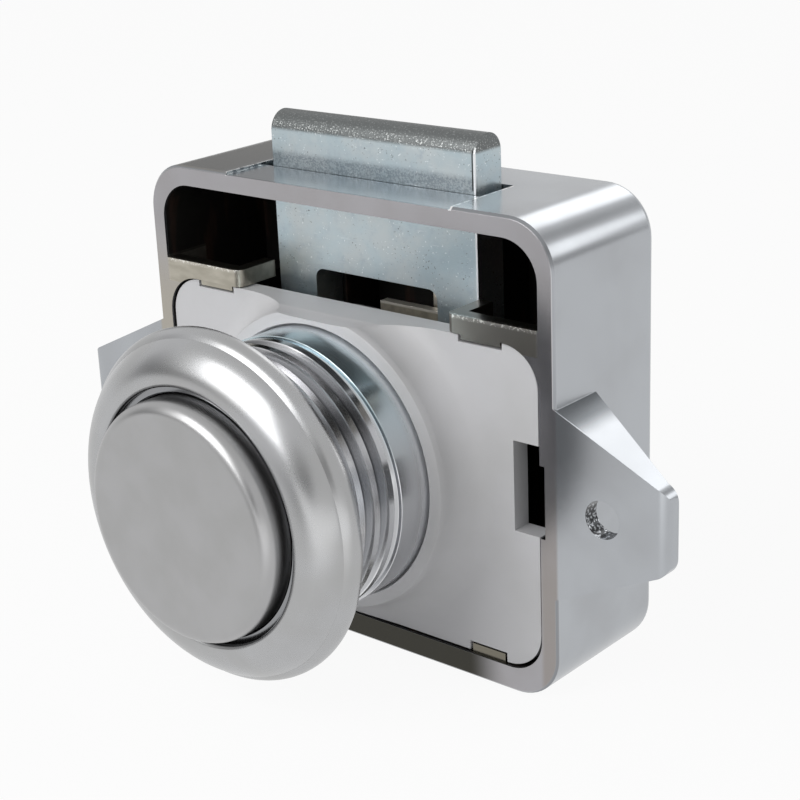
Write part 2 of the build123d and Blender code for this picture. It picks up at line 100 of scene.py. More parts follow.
# The case: one zinc die casting, satin chromed outside; inside its cavity it is dull and painted nearly black
# as shade.
# The two arms over the cover are cast with it; their warm nickel tone is partly plating and partly painted
# reflection.
class Wire:
    """One output socket of a node tree; an expression on wires adds its Math nodes."""

    def __init__(self, tree, socket):
        self.tree = tree
        self.socket = socket

    def math(self, operation, *values, clamp=False):
        node = self.tree.nodes.new("ShaderNodeMath")
        node.operation = operation
        node.use_clamp = clamp
        for slot, value in zip(node.inputs, values):
            if isinstance(value, Wire):
                self.tree.links.new(value.socket, slot)
            else:
                slot.default_value = value
        return Wire(self.tree, node.outputs[0])

    def __add__(self, other):
        return self.math("ADD", self, other)

    def __sub__(self, other):
        return self.math("SUBTRACT", self, other)

    def __rsub__(self, other):
        return self.math("SUBTRACT", other, self)

    def __mul__(self, other):
        return self.math("MULTIPLY", self, other)

    def __truediv__(self, other):
        return self.math("DIVIDE", self, other)

    def __pow__(self, other):
        return self.math("POWER", self, other)

    def __abs__(self):
        return self.math("ABSOLUTE", self)

    __radd__ = __add__
    __rmul__ = __mul__

    def least(self, other):
        return self.math("MINIMUM", self, other)

    def most(self, other):
        return self.math("MAXIMUM", self, other)

    def rise(self, low, high):
        """0 at low, 1 at high, smooth between and flat beyond."""
        t = self.math("ADD", (self - low) / (high - low), 0.0, clamp=True)
        return t * t * (3.0 - 2.0 * t)

    def within(self, low, high, soft):
        """1 between low and high, fading to 0 over the width soft beyond them."""
        return self.rise(low - soft, low) * (1.0 - self.rise(high, high + soft))

    def output(self, name):
        """Another output of the node that this wire leaves."""
        return Wire(self.tree, self.socket.node.outputs[name])


class Tree:
    """A node tree, and the one way in which any node but maths is added to it."""

    def __init__(self, tree):
        self.tree = tree

    def add(self, kind, settings=None, sockets=None, out=0):
        node = self.tree.nodes.new(kind)
        for name, value in (settings or {}).items():
            setattr(node, name, value)
        for name, value in (sockets or {}).items():
            if isinstance(value, Wire):
                self.tree.links.new(value.socket, node.inputs[name])
            else:
                node.inputs[name].default_value = value
        return Wire(self.tree, node.outputs[out])


class Finish(Tree):
    """A material: Principled shader, the piece's own millimetre coordinates, and noise at real sizes."""

    def __init__(self, name, colour, metallic, roughness, **plain):
        self.material = bpy.data.materials.new(name)
        self.material.use_nodes = True
        self.material.diffuse_color = (*colour, 1.0)
        super().__init__(self.material.node_tree)
        self.shader = self.tree.nodes["Principled BSDF"]
        self.shader.inputs["Base Color"].default_value = (*colour, 1.0)
        self.shader.inputs["Metallic"].default_value = metallic
        self.shader.inputs["Roughness"].default_value = roughness
        for key, value in plain.items():
            self.shader.inputs[key.replace("_", " ")].default_value = value
        self.place = self.add("ShaderNodeTexCoord", out="Object")
        split = self.add("ShaderNodeSeparateXYZ", None, {0: self.place})
        self.x = split.output("X") / MM
        self.y = split.output("Y") / MM
        self.z = split.output("Z") / MM

    def feed(self, name, wire):
        self.tree.links.new(wire.socket, self.shader.inputs[name])

    def noise(self, size, detail=2.0, stretch=None, rough=0.5, place=None):
        """Noise from 0 to 1 in blobs of about size mm; stretch lengthens them along X, Y and Z."""
        where = place or self.place
        if stretch:
            scale = tuple(1 / s for s in stretch)
            where = self.add("ShaderNodeMapping", None, {"Vector": where, "Scale": scale})
        sockets = {"Vector": where, "Scale": 1 / (size * MM), "Detail": detail, "Roughness": rough}
        return self.add("ShaderNodeTexNoise", None, sockets)

    def mix(self, share, under, over):
        """The colour under where share is 0, and over where it is 1."""
        sockets = {0: share}
        for key, colour in ((6, under), (7, over)):
            sockets[key] = colour if isinstance(colour, Wire) else (*colour, 1.0)
        return self.add("ShaderNodeMix", {"data_type": "RGBA"}, sockets, out=2)

    def bump(self, height, depth):
        """Stands the height, from 0 to 1, depth mm tall."""
        sockets = {"Height": height, "Distance": depth * MM, "Strength": 1.0}
        self.feed("Normal", self.add("ShaderNodeBump", None, sockets))


def dress(piece, finish, body=None):
    piece.data.materials.clear()
    piece.data.materials.append(finish.material)
    if body:
        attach(piece, body)


def smooth(mesh, angle):
    """Smooth shading that keeps every edge sharper than angle degrees."""
    for face in mesh.polygons:
        face.use_smooth = True
    mesh.set_sharp_from_angle(angle=math.radians(angle))


weld = 0.002 * MM
sliver = 0.0001 * MM
flat_degrees = 0.6
crease_degrees = 35
bevel_degrees = 40


def faired(node, name, edge_round):
    """A merged and smooth-shaded copy of a CAD node, its edges broken by edge_round mm."""
    bm = bmesh.new()
    bm.from_mesh(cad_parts[node].data)
    bmesh.ops.remove_doubles(bm, verts=bm.verts, dist=weld)
    bmesh.ops.dissolve_degenerate(bm, edges=bm.edges, dist=sliver)
    bmesh.ops.dissolve_limit(bm, verts=bm.verts, edges=bm.edges, angle_limit=math.radians(flat_degrees))
    mesh = bpy.data.meshes.new(name)
    bm.to_mesh(mesh)
    bm.free()
    if "custom_normal" in mesh.attributes:
        mesh.attributes.remove(mesh.attributes["custom_normal"])
    smooth(mesh, crease_degrees)
    piece = bpy.data.objects.new(name, mesh)
    bpy.context.scene.collection.objects.link(piece)
    bevel = piece.modifiers.new("broken_edges", "BEVEL")
    bevel.width = edge_round * MM
    bevel.segments = 2
    bevel.limit_method = "ANGLE"
    bevel.angle_limit = math.radians(bevel_degrees)
    bevel.harden_normals = True
    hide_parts(node)
    return piece


case = faired("housing", "case_casting", edge_round=0.06)
satin_case = Finish("satin_chrome_casting", (0.46, 0.48, 0.50), 1.0, 0.2)
plating = satin_case.noise(7.0, 3.0)
across = abs(satin_case.x)
# The casting's planes and sizes; its front is y = 0
side_x = 18.8
cavity_x = 17.5
cavity_z = -13.2
top_z = 19.3
arm_top_z = 12.0
ear_hole_x = 22.5
ear_hole_r = 1.35
satin_colour = satin_case.mix(plating.rise(0.35, 0.7), (0.475, 0.495, 0.52), (0.43, 0.445, 0.465))
# The front rim is lilac grey, warmer at its lower left and browner at its lower right; along its bottom under
# the cover it is painted nearly black as a dark reflection, and the broken edge round it is painted darker as a
# dark reflection
on_body = 1.0 - across.rise(side_x - 0.1, side_x + 0.2)
broken = on_body * satin_case.y.within(0.05, 0.19, 0.02)
satin_colour = satin_case.mix(broken * 0.55, satin_colour, (0.16, 0.165, 0.175))
front_rim = (1.0 - satin_case.y.rise(0.01, 0.06)) * on_body
cloudy = satin_case.noise(4.0, 3.0).rise(0.3, 0.7)
rim_colour = satin_case.mix(cloudy, (0.415, 0.408, 0.425), (0.385, 0.375, 0.385))
warm_side = (1.0 - satin_case.x.rise(-17, -8)) * (1.0 - satin_case.z.rise(8, 16))
rim_colour = satin_case.mix(warm_side * 0.8, rim_colour, (0.45, 0.42, 0.355))
brown_side = satin_case.x.rise(17.3, 17.8) * (1.0 - satin_case.z.rise(-8, 6))
rim_colour = satin_case.mix(brown_side * 0.6, rim_colour, (0.30, 0.265, 0.235))
# a dark reflection painted along the rim's bottom, left of the tabs
painted_dark_reflection_strip = satin_case.z.within(-30, cavity_z, 0.15) * (1.0 - satin_case.x.rise(11, 14.5))
rim_colour = satin_case.mix(painted_dark_reflection_strip, rim_colour, (0.055, 0.053, 0.045))
satin_colour = satin_case.mix(front_rim, satin_colour, rim_colour)
# The top wall left of the bolt is painted browner as a reflection
painted_reflection_top = satin_case.z.rise(top_z, top_z + 0.12) * (1.0 - satin_case.x.rise(-11.5, -9.5)) * on_body
satin_colour = satin_case.mix(painted_reflection_top * 0.7, satin_colour, (0.25, 0.235, 0.21))
# The ends of the bolt's recess in the top wall have painted highlights, broken up by noise
painted_highlight_ends = across.within(10.36, 10.6, 0.03) * satin_case.z.rise(top_z - 0.15, top_z - 0.05)
painted_highlight_ends = painted_highlight_ends * (1.0 - satin_case.y.rise(7.0, 7.1))
highlight_breakup = satin_case.noise(0.5, 3.0).rise(0.38, 0.5)
satin_colour = satin_case.mix(painted_highlight_ends * highlight_breakup, satin_colour, (0.95, 0.95, 0.95))
# The cavity, painted nearly black as shade, with reddish-brown streaks down its walls painted as reflections
inside = (1.0 - across.rise(cavity_x + 0.02, cavity_x + 0.08)) * satin_case.z.within(cavity_z, 18.0, 0.03)
inside = inside * satin_case.y.within(0.25, 11.2, 0.2)
painted_reflection_streaks = satin_case.noise(1.6, 3.0, stretch=(1, 1, 5)).rise(0.52, 0.7)
painted_shade_hollow = satin_case.mix(painted_reflection_streaks, (0.012, 0.0105, 0.009), (0.05, 0.026, 0.018))
satin_colour = satin_case.mix(inside, satin_colour, painted_shade_hollow)
# The arms and the tabs over the cover: light on the left and painted dark as shade on the right; the arms' top
# faces are painted dark as shade, and their front top edge has a painted highlight broken up by noise
arm_mask = satin_case.z.within(10.25, arm_top_z + 0.2, 0.04) * (1.0 - satin_case.y.rise(4.0, 4.2))
arm_mask = arm_mask * (1.0 - across.rise(cavity_x - 0.2, cavity_x + 0.1))
low_tab = satin_case.z.within(-13.4, -12.4, 0.03) * satin_case.y.within(0.15, 0.95, 0.03)
low_tab = low_tab * across.within(11.0, 14.3, 0.1)
arm_wear = satin_case.noise(0.7, 3.0, stretch=(3, 1, 1)).rise(0.3, 0.75)
arm_colour = satin_case.mix(arm_wear, (0.40, 0.375, 0.315), (0.52, 0.49, 0.42))
# the right arm painted dark as shade
arm_colour = satin_case.mix(satin_case.x.rise(-2, 2), arm_colour, (0.21, 0.20, 0.18))
sparkle = satin_case.noise(0.22, 2.0).rise(0.5, 0.62)
# painted shade on the arms' top faces, and a painted highlight along their front top edge
arm_top = satin_case.z.rise(arm_top_z + 0.01, arm_top_z + 0.045) * satin_case.y.rise(0.1, 0.3)
arm_colour = satin_case.mix(arm_top * 0.75, arm_colour, (0.09, 0.085, 0.072))
painted_highlight_edge = satin_case.z.rise(arm_top_z - 0.25, arm_top_z - 0.05) * (sparkle * 0.8 + 0.15)
painted_highlight_edge = painted_highlight_edge * (1.0 - satin_case.y.rise(0.12, 0.4))
arm_colour = satin_case.mix(painted_highlight_edge, arm_colour, (0.88, 0.86, 0.80))
satin_colour = satin_case.mix(arm_mask, satin_colour, arm_colour)
satin_colour = satin_case.mix(low_tab, satin_colour, (0.20, 0.185, 0.15))
# The ears' flanges are painted darker at their roots as shade, and the walls of the screw holes are painted
# dark as shade, broken up by noise
root = across.within(side_x + 0.05, 19.9, 0.05) + across.within(19.95, 20.0, 1.6)
root = root.least(1.0) * across.rise(side_x + 0.02, side_x + 0.06)
root_shade = root * satin_case.y.rise(0.02, 0.1) * satin_case.z.rise(-1, 1)
satin_colour = satin_case.mix(root_shade * 0.8, satin_colour, (0.07, 0.078, 0.085))
off_hole = ((across - ear_hole_x) ** 2.0 + satin_case.z * satin_case.z) ** 0.5
painted_shade_hole_wall = (1.0 - off_hole.rise(ear_hole_r + 0.01, ear_hole_r + 0.05)) * satin_case.y.rise(0.0, 0.04)
satin_colour = satin_case.mix(painted_shade_hole_wall * (1.0 - 0.8 * sparkle), satin_colour, (0.05, 0.052, 0.055))
satin_case.feed("Base Color", satin_colour)
dull = inside * (1.0 - arm_mask.most(low_tab))
grain = satin_case.noise(0.13, 3.0)
satin_case.feed("Metallic", 1.0 - dull * 0.6)
satin_case.feed("Roughness", 0.17 + plating * 0.05 + grain * 0.03 + dull * 0.35 + arm_mask * 0.12)
satin_case.bump(grain * (0.3 + arm_mask * 2.0) + plating * 0.3, 0.0016)
dress(case, satin_case, "case")

# The cover: a white moulded plate snapped under the case's tabs, flared up to the collar round the barrel.
cover = faired("cover_plate", "front_cover", edge_round=0.05)
white_cover = Finish("white_acetal", (0.64, 0.64, 0.655), 0.0, 0.38, Specular_IOR_Level=0.45)
mould_grain = white_cover.noise(0.25, 3.0)
handling = white_cover.noise(9.0, 4.0)
white_cover.feed(
    "Base Color",
    white_cover.mix(handling.rise(0.4, 0.75), (0.66, 0.66, 0.675), (0.60, 0.60, 0.605)),
)
white_cover.feed("Roughness", 0.34 + handling * 0.12)
white_cover.bump(mould_grain * 0.5 + handling, 0.006)
dress(cover, white_cover, "case")

# The barrel: one turned and chromed tube. Its collar fills the cover's flared hole, and a fine thread
# carries the rosette, which clamps the door against the case.
def bow(a, b, c, steps):
    """Points on the arc from a through b to c, without a itself."""
    (ax, ay), (bx, by), (cx, cy) = a, b, c
    a2, b2, c2 = (x * x + y * y for x, y in (a, b, c))
    d = 2 * (ax * (by - cy) + bx * (cy - ay) + cx * (ay - by))
    ux = (a2 * (by - cy) + b2 * (cy - ay) + c2 * (ay - by)) / d
    uy = (a2 * (cx - bx) + b2 * (ax - cx) + c2 * (bx - ax)) / d
    radius = math.hypot(ax - ux, ay - uy)
    start, way, end = (math.atan2(y - uy, x - ux) for x, y in (a, b, c))
    sweep = (end - start) % math.tau
    if (way - start) % math.tau > sweep:
        sweep -= math.tau
    turns = [start + sweep * i / steps for i in range(1, steps + 1)]
    return [(ux + radius * math.cos(t), uy + radius * math.sin(t)) for t in turns]


turned_weld = 0.0005 * MM
turned_crease_degrees = 32
thread_crease_degrees = 30
wire_crease_degrees = 60


def turned(name, outline, steps=192):
    """A solid turned about Y from a closed outline of (radius, y) points in mm."""
    bm = bmesh.new()
    rings = []
    for i in range(steps):
        angle = math.tau * i / steps
        place = [(r * math.cos(angle) * MM, y * MM, r * math.sin(angle) * MM) for r, y in outline]
        rings.append([bm.verts.new(p) for p in place])
    for i in range(steps):
        here, there = rings[i], rings[(i + 1) % steps]
        for j in range(len(outline)):
            k = (j + 1) % len(outline)
            if outline[j][0] > 0 or outline[k][0] > 0:
                bm.faces.new((here[j], here[k], there[k], there[j]))
    bmesh.ops.remove_doubles(bm, verts=bm.verts, dist=turned_weld)
    bmesh.ops.dissolve_degenerate(bm, edges=bm.edges, dist=sliver)
    bmesh.ops.recalc_face_normals(bm, faces=bm.faces)
    mesh = bpy.data.meshes.new(name)
    bm.to_mesh(mesh)
    bm.free()
    smooth(mesh, turned_crease_degrees)
    piece = bpy.data.objects.new(name, mesh)
    bpy.context.scene.collection.objects.link(piece)
    return piece


def grow(name, sizes, draw, material):
    """A piece made by Geometry Nodes: draw(tree, sizes) returns the geometry, which becomes a plain mesh."""
    group = bpy.data.node_groups.new(name, "GeometryNodeTree")
    group.interface.new_socket(name="Geometry", in_out="OUTPUT", socket_type="NodeSocketGeometry")
    sockets = {}
    for label in sizes:
        sockets[label] = group.interface.new_socket(name=label, in_out="INPUT", socket_type="NodeSocketFloat")
    tree = Tree(group)
    first = tree.add("NodeGroupInput")
    inputs = {label: first.output(label) for label in sizes}
    shape = draw(tree, inputs)
    shape = tree.add("GeometryNodeRealizeInstances", None, {0: shape})
    shape = tree.add("GeometryNodeSetMaterial", None, {"Geometry": shape, "Material": material})
    end = group.nodes.new("NodeGroupOutput")
    group.links.new(shape.socket, end.inputs[0])
    piece = bpy.data.objects.new(name, bpy.data.meshes.new(name + "_seed"))
    bpy.context.scene.collection.objects.link(piece)
    maker = piece.modifiers.new(name, "NODES")
    maker.node_group = group
    for label, value in sizes.items():
        maker[sockets[label].identifier] = value
    seen = piece.evaluated_get(bpy.context.evaluated_depsgraph_get())
    mesh = bpy.data.meshes.new_from_object(seen)
    piece.modifiers.clear()
    piece.data = mesh
    mesh.name = name
    return piece


bore_r = 8.65
root_r = 9.35
crest_r = 10.0
collar_r = 10.1
tail_r = 9.45
ring_groove_r = 9.1
barrel_back = 3.9
barrel_front = -14.9
barrel_outline = [
    (bore_r, barrel_back),
    (tail_r, barrel_back),
    (tail_r, 3.2),
    (ring_groove_r, 3.2),
    (ring_groove_r, 2.45),
    (tail_r, 2.45),
    (tail_r, -2.3),
    (9.9, -2.3),
    (9.9, -2.5),
    (collar_r - 0.1, -2.5),
    (collar_r, -2.6),
    (collar_r, -5.54),
    (collar_r - 0.04, -5.58),
    (9.85, -5.6),
    (9.8, -5.75),
    (root_r, -6.2),
    (root_r, barrel_front + 0.15),
    (root_r - 0.15, barrel_front),
    (bore_r + 0.1, barrel_front),
    (bore_r, barrel_front + 0.1),
]
barrel = turned("threaded_barrel", barrel_outline)
bright = Finish("turned_chrome", (0.52, 0.54, 0.56), 1.0, 0.14)
lathe_marks = bright.noise(0.10, 2.0, stretch=(60, 1, 60))
smear = bright.noise(4.0, 3.0)
# A cool blue reflection is painted on the collar's upper half, neutral elsewhere
painted_blue_reflection = bright.z.rise(1.0, 7.5) * bright.y.rise(-6.3, -5.6)
barrel_tone_and_painted_light = bright.mix(painted_blue_reflection, (0.66, 0.67, 0.69), (0.62, 0.72, 0.76))
# Grey in the thread, with painted highlights on the crests and painted shade in the roots, and a paler painted
# reflection where the collar meets the cover
in_thread = 1.0 - bright.y.rise(-5.75, -5.6)
barrel_tone_and_painted_light = bright.mix(in_thread * (0.6 + lathe_marks * 0.4), barrel_tone_and_painted_light, (0.50, 0.505, 0.52))
from_axis = (bright.x * bright.x + bright.z * bright.z) ** 0.5
# painted highlights on the crests, painted shade in the roots
barrel_tone_and_painted_light = bright.mix(in_thread * from_axis.rise(9.88, 9.97), barrel_tone_and_painted_light, (0.82, 0.83, 0.85))
barrel_tone_and_painted_light = bright.mix(in_thread * (1.0 - from_axis.rise(9.38, 9.55)) * 0.7, barrel_tone_and_painted_light, (0.20, 0.205, 0.215))
# a paler painted reflection where the collar meets the cover
painted_light_near_cover = bright.y.rise(-3.9, -3.0)
barrel_tone_and_painted_light = bright.mix(painted_light_near_cover * 0.8, barrel_tone_and_painted_light, (0.90, 0.91, 0.93))
bright.feed("Base Color", barrel_tone_and_painted_light)
bright.feed("Roughness", 0.16 + smear * 0.06 + bright.y.rise(-6.0, -5.4) * 0.04 + painted_light_near_cover * 0.12)
bright.bump(lathe_marks, 0.0015)


thread_start = math.radians(-216)
end_fade_turns = 0.6


def thread_ridge(tree, size):
    """A flat-topped ridge swept along a helix, its two ends dying out in the core."""
    helix = tree.add(
        "GeometryNodeCurveSpiral",
        None,
        {
            "Resolution": 160,
            "Rotations": size["Turns"],
            "Start Radius": size["Core radius"],
            "End Radius": size["Core radius"],
            "Height": size["Turns"] * size["Pitch"],
        },
    )
    helix = tree.add("GeometryNodeSetCurveNormal", {"mode": "Z_UP"}, {"Curve": helix})
    along = tree.add("GeometryNodeSplineParameter", out="Factor")
    fade = (along.least(1.0 - along) * size["Turns"] / end_fade_turns).least(1.0)
    helix = tree.add("GeometryNodeSetCurveRadius", None, {"Curve": helix, "Radius": fade})
    section = tree.add(
        "GeometryNodeCurvePrimitiveQuadrilateral",
        {"mode": "TRAPEZOID"},
        {
            "Height": size["Height"] * 2.0,
            "Bottom Width": size["Foot width"] * 2.0 - size["Crest width"],
            "Top Width": size["Crest width"],
            "Offset": 0.0,
        },
    )
    section = tree.add("GeometryNodeTransform", None, {0: section, "Rotation": (0, 0, math.radians(90))})
    sockets = {"Curve": helix, "Profile Curve": section, "Fill Caps": True}
    ridge = tree.add("GeometryNodeCurveToMesh", None, sockets)
    start = tree.add("ShaderNodeCombineXYZ", None, {"Y": size["Start"]})
    spun = tree.add("GeometryNodeTransform", None, {0: ridge, "Rotation": (0, 0, thread_start)})
    return tree.add(
        "GeometryNodeTransform", None, {0: spun, "Translation": start, "Rotation": (math.radians(90), 0, 0)}
    )


thread_sizes = {
    "Turns": 5.9,
    "Start": -5.9 * MM,
    "Pitch": 1.5 * MM,
    "Core radius": root_r * MM,
    "Height": (crest_r - root_r) * MM,
    "Foot width": 1.15 * MM,
    "Crest width": 0.55 * MM,
}
thread = grow("barrel_thread", thread_sizes, thread_ridge, bright.material)
# The tube and its thread become one piece
both = bmesh.new()
both.from_mesh(barrel.data)
both.from_mesh(thread.data)
both.to_mesh(barrel.data)
both.free()
bpy.data.objects.remove(thread)
smooth(barrel.data, thread_crease_degrees)
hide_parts("barrel")
dress(barrel, bright, "case")

# Washer and spring ring that hold the barrel in the cover from behind: plain bright steel.
steel = Finish("bright_steel", (0.42, 0.42, 0.42), 1.0, 0.3)
steel_grain = steel.noise(0.3, 3.0)
steel.feed("Base Color", steel.mix(steel.noise(2.0, 3.0), (0.36, 0.36, 0.36), (0.47, 0.47, 0.465)))
steel.feed("Roughness", 0.22 + steel_grain * 0.16)
steel.bump(steel_grain, 0.003)
for node in ("barrel_washer", "barrel_ring"):
    dress(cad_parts[node], steel)

# The rosette: a turned ring, satin chromed, screwed on the barrel to clamp the door.
# Its domed front ends in a fine crease and a rounded rim, and a small lip goes round its mouth.
mouth_r = 9.15
thread_hole_r = 10.1
rosette_back = -12.4
seat_y = -14.97
lip_back = (mouth_r, -15.15)
lip_top = (mouth_r + 0.35, -15.5)
rosette_outline = [
    (12.5, rosette_back),
    (thread_hole_r + 0.1, rosette_back),
    (thread_hole_r, rosette_back - 0.1),
    (thread_hole_r, seat_y),
    (mouth_r, seat_y),
    lip_back,
]
rosette_outline += bow(lip_back, (mouth_r + 0.1, -15.4), lip_top, 6)
rosette_outline += bow(lip_top, (11.15, -14.9), (12.08, -13.8), 28)
rosette_outline += [(12.09, -13.74)]
rosette_outline += bow((12.11, -13.71), (12.54, -13.25), (12.65, -12.67), 12)
rosette_outline += [(12.62, -12.5)]
rosette = turned("rosette_ring", rosette_outline, steps=240)
satin = Finish("satin_chrome_knob", (0.47, 0.475, 0.48), 1.0, 0.27)
fine = satin.noise(0.16, 3.0)
smear = satin.noise(5.0, 3.0)
satin_tone = satin.mix(smear.rise(0.3, 0.7), (0.49, 0.495, 0.505), (0.45, 0.452, 0.452))
# The mouth's wall is painted black as shade
radius = (satin.x * satin.x + satin.z * satin.z) ** 0.5
painted_shade_throat = (1.0 - radius.rise(mouth_r + 0.02, mouth_r + 0.1)) * satin.y.rise(-15.42, -15.35)
satin.feed("Base Color", satin.mix(painted_shade_throat, satin_tone, (0.015, 0.015, 0.015)))
satin.feed("Roughness", 0.24 + smear * 0.05 + fine * 0.02)
satin.bump(fine, 0.0001)
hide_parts("rosette")
dress(rosette, satin, "rosette")

# The button: a cap with a flat face, a rounded edge and a long skirt, in the same satin chrome. The cap's
# screw goes into a boss behind its face.
cap_r = 8.55
cap_face = -17.1
cap_edge = 0.9
cap_wall = 0.9
skirt_end = -4.0
boss_r = 2.9
boss_end = -12.92
screw_hole_r = 1.0
bulge = cap_edge * (1 - math.sqrt(0.5))
edge_start = (cap_r, cap_face + cap_edge)
cap_outline = [(cap_r - cap_wall, skirt_end), (cap_r, skirt_end), edge_start]
cap_outline += bow(edge_start, (cap_r - bulge, cap_face + bulge), (cap_r - cap_edge, cap_face), 12)
cap_outline += [
    (cap_r - cap_edge - 0.3, cap_face),
    (4.0, cap_face),
    (0, cap_face),
    (0, cap_face + cap_wall),
    (screw_hole_r, cap_face + cap_wall),
    (screw_hole_r, boss_end),
    (boss_r, boss_end),
    (boss_r, cap_face + 1.1),
    (cap_r - cap_wall, cap_face + 1.1),
]
cap = turned("button_face_cap", cap_outline)
satin_cap = Finish("satin_chrome_cap", (0.44, 0.44, 0.445), 1.0, 0.3)
fine = satin_cap.noise(0.14, 3.0)
cloud = satin_cap.noise(3.5, 4.0)
satin_cap.feed("Base Color", satin_cap.mix(cloud.rise(0.3, 0.7), (0.455, 0.455, 0.46), (0.425, 0.425, 0.425)))
satin_cap.feed("Roughness", 0.27 + cloud * 0.05 + fine * 0.05)
satin_cap.bump(fine + cloud * 0.5, 0.0005)
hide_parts("button_cap")
dress(cap, satin_cap, "button")

# Behind the cap: the black plunger with the spring in it, and the screw that holds the cap to it.
black = Finish("black_acetal", (0.02, 0.02, 0.021), 0.0, 0.4)
black_grain = black.noise(0.4, 3.0)
black.feed("Base Color", black.mix(black_grain, (0.016, 0.016, 0.017), (0.028, 0.028, 0.028)))
black.feed("Roughness", 0.36 + black_grain * 0.14)
black.bump(black_grain, 0.006)
for node in ("plunger", "spring_seat"):
    dress(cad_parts[node], black)
dress(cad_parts["cap_screw"], steel)


# The button's spring: nine turns of spring wire between the plunger and the seat on the case's floor.
def coil(tree, size):
    """A round wire on a helix with plain ends, its back end on the seat."""
    helix = tree.add(
        "GeometryNodeCurveSpiral",
        None,
        {
            "Resolution": 36,
            "Rotations": size["Turns"],
            "Start Radius": size["Coil radius"],
            "End Radius": size["Coil radius"],
            "Height": size["Length"],
        },
    )
    ring = tree.add("GeometryNodeCurvePrimitiveCircle", None, {"Resolution": 12, "Radius": size["Wire radius"]})
    wire = tree.add("GeometryNodeCurveToMesh", None, {"Curve": helix, "Profile Curve": ring, "Fill Caps": True})
    start = tree.add("ShaderNodeCombineXYZ", None, {"Y": size["Back end"]})
    return tree.add(
        "GeometryNodeTransform", None, {0: wire, "Translation": start, "Rotation": (math.radians(90), 0, 0)}
    )


spring_back = 10.0
spring_front = -11.55
spring_sizes = {
    "Turns": 9.0,
    "Coil radius": 2.85 * MM,
    "Wire radius": 0.3 * MM,
    "Length": (spring_back - spring_front) * MM,
    "Back end": spring_back * MM,
}
spring = grow("button_coil_spring", spring_sizes, coil, steel.material)
smooth(spring.data, wire_crease_degrees)
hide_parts("button_spring")
dress(spring, steel)
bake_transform(spring)

# The latch inside: drive pins and heart cam on the plunger, and the wire that follows the cam's track.
# All of it is small turned, stamped and bent steel.
latch_steel = ("drive_pins", "heart_cam", "cam_screws", "follower", "follower_clip", "follower_spring")
for node in (*latch_steel, "spring_rivet"):
    dress(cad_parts[node], steel)

# The latch's bracket: a bent strip of nickel-plated steel, screwed to a boss on the case's floor.
# Its upturned lip shows through the window under the bolt.
bracket = faired("latch_bracket", "bent_latch_bracket", edge_round=0.06)
nickel = Finish("nickel_strip", (0.60, 0.55, 0.45), 0.7, 0.4)
tarnish = nickel.noise(0.8, 4.0)
pit = nickel.noise(0.12, 2.0)
strip_colour = nickel.mix(tarnish.rise(0.3, 0.7), (0.62, 0.57, 0.46), (0.42, 0.38, 0.31))
# The lip's upper edge has a painted highlight
nickel.feed("Base Color", nickel.mix(nickel.z.rise(8.95, 9.1), strip_colour, (1.0, 0.95, 0.85)))
nickel.feed("Roughness", 0.32 + tarnish * 0.15)
nickel.bump(tarnish * 2.0 + pit, 0.005)
dress(bracket, nickel, "case")
dress(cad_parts["bracket_screws"], steel)

# The bolt: a half-round head on a flat plate whose fork goes round the plunger, zinc plated and passivated
# pale blue. The plating is blotchy, and grit and scratches from the plating drum show on it.
bolt = faired("bolt", "bolt_tongue", edge_round=0.16)
zinc = Finish("blue_passivated_zinc", (0.50, 0.60, 0.64), 1.0, 0.34)
cloud = zinc.noise(3.2, 4.0, rough=0.6).rise(0.3, 0.72)
blot = zinc.noise(0.9, 4.0, rough=0.65)
zinc_colour = zinc.mix(cloud, (0.50, 0.60, 0.645), (0.60, 0.655, 0.67))
zinc_colour = zinc.mix(blot.rise(0.5, 0.8) * 0.6, zinc_colour, (0.42, 0.50, 0.56))
speck = zinc.noise(0.16, 1.0).rise(0.68, 0.74) * zinc.noise(2.2, 2.0).rise(0.42, 0.6)
zinc_colour = zinc.mix(speck * 0.75, zinc_colour, (0.10, 0.11, 0.11))
shifted = zinc.add("ShaderNodeVectorMath", {"operation": "ADD"}, {0: zinc.place, 1: (0.01, 0.02, 0.03)})
glint = zinc.noise(0.2, 1.0, place=shifted).rise(0.70, 0.75)
zinc_colour = zinc.mix(glint * 0.8, zinc_colour, (0.85, 0.9, 0.92))
scratch = zinc.noise(0.12, 2.0, stretch=(22, 22, 1.2)).rise(0.66, 0.72) * blot.rise(0.45, 0.6)
zinc_colour = zinc.mix(scratch * 0.5, zinc_colour, (0.75, 0.80, 0.82))
# The rounded top and the head's foot are painted darker as reflections, both broken up by grit, and the top
# sparkles
grit = zinc.noise(0.13, 2.0)
crown = zinc.z.rise(21.95, 22.25)
low_crown = 1.0 - zinc.z.rise(22.3, 23.0)
crown_grit = grit.rise(0.55, 0.68) * (0.25 + low_crown * 0.6)
crown_colour = zinc.mix(crown_grit, (0.17, 0.18, 0.18), (0.62, 0.64, 0.63))
zinc_colour = zinc.mix(crown, zinc_colour, crown_colour)
foot = zinc.z.within(top_z, 20.1, 0.6) * (1.0 - zinc.y.rise(4.15, 4.4))
zinc_colour = zinc.mix(foot * (0.40 + 0.3 * grit.rise(0.42, 0.58)), zinc_colour, (0.17, 0.20, 0.225))
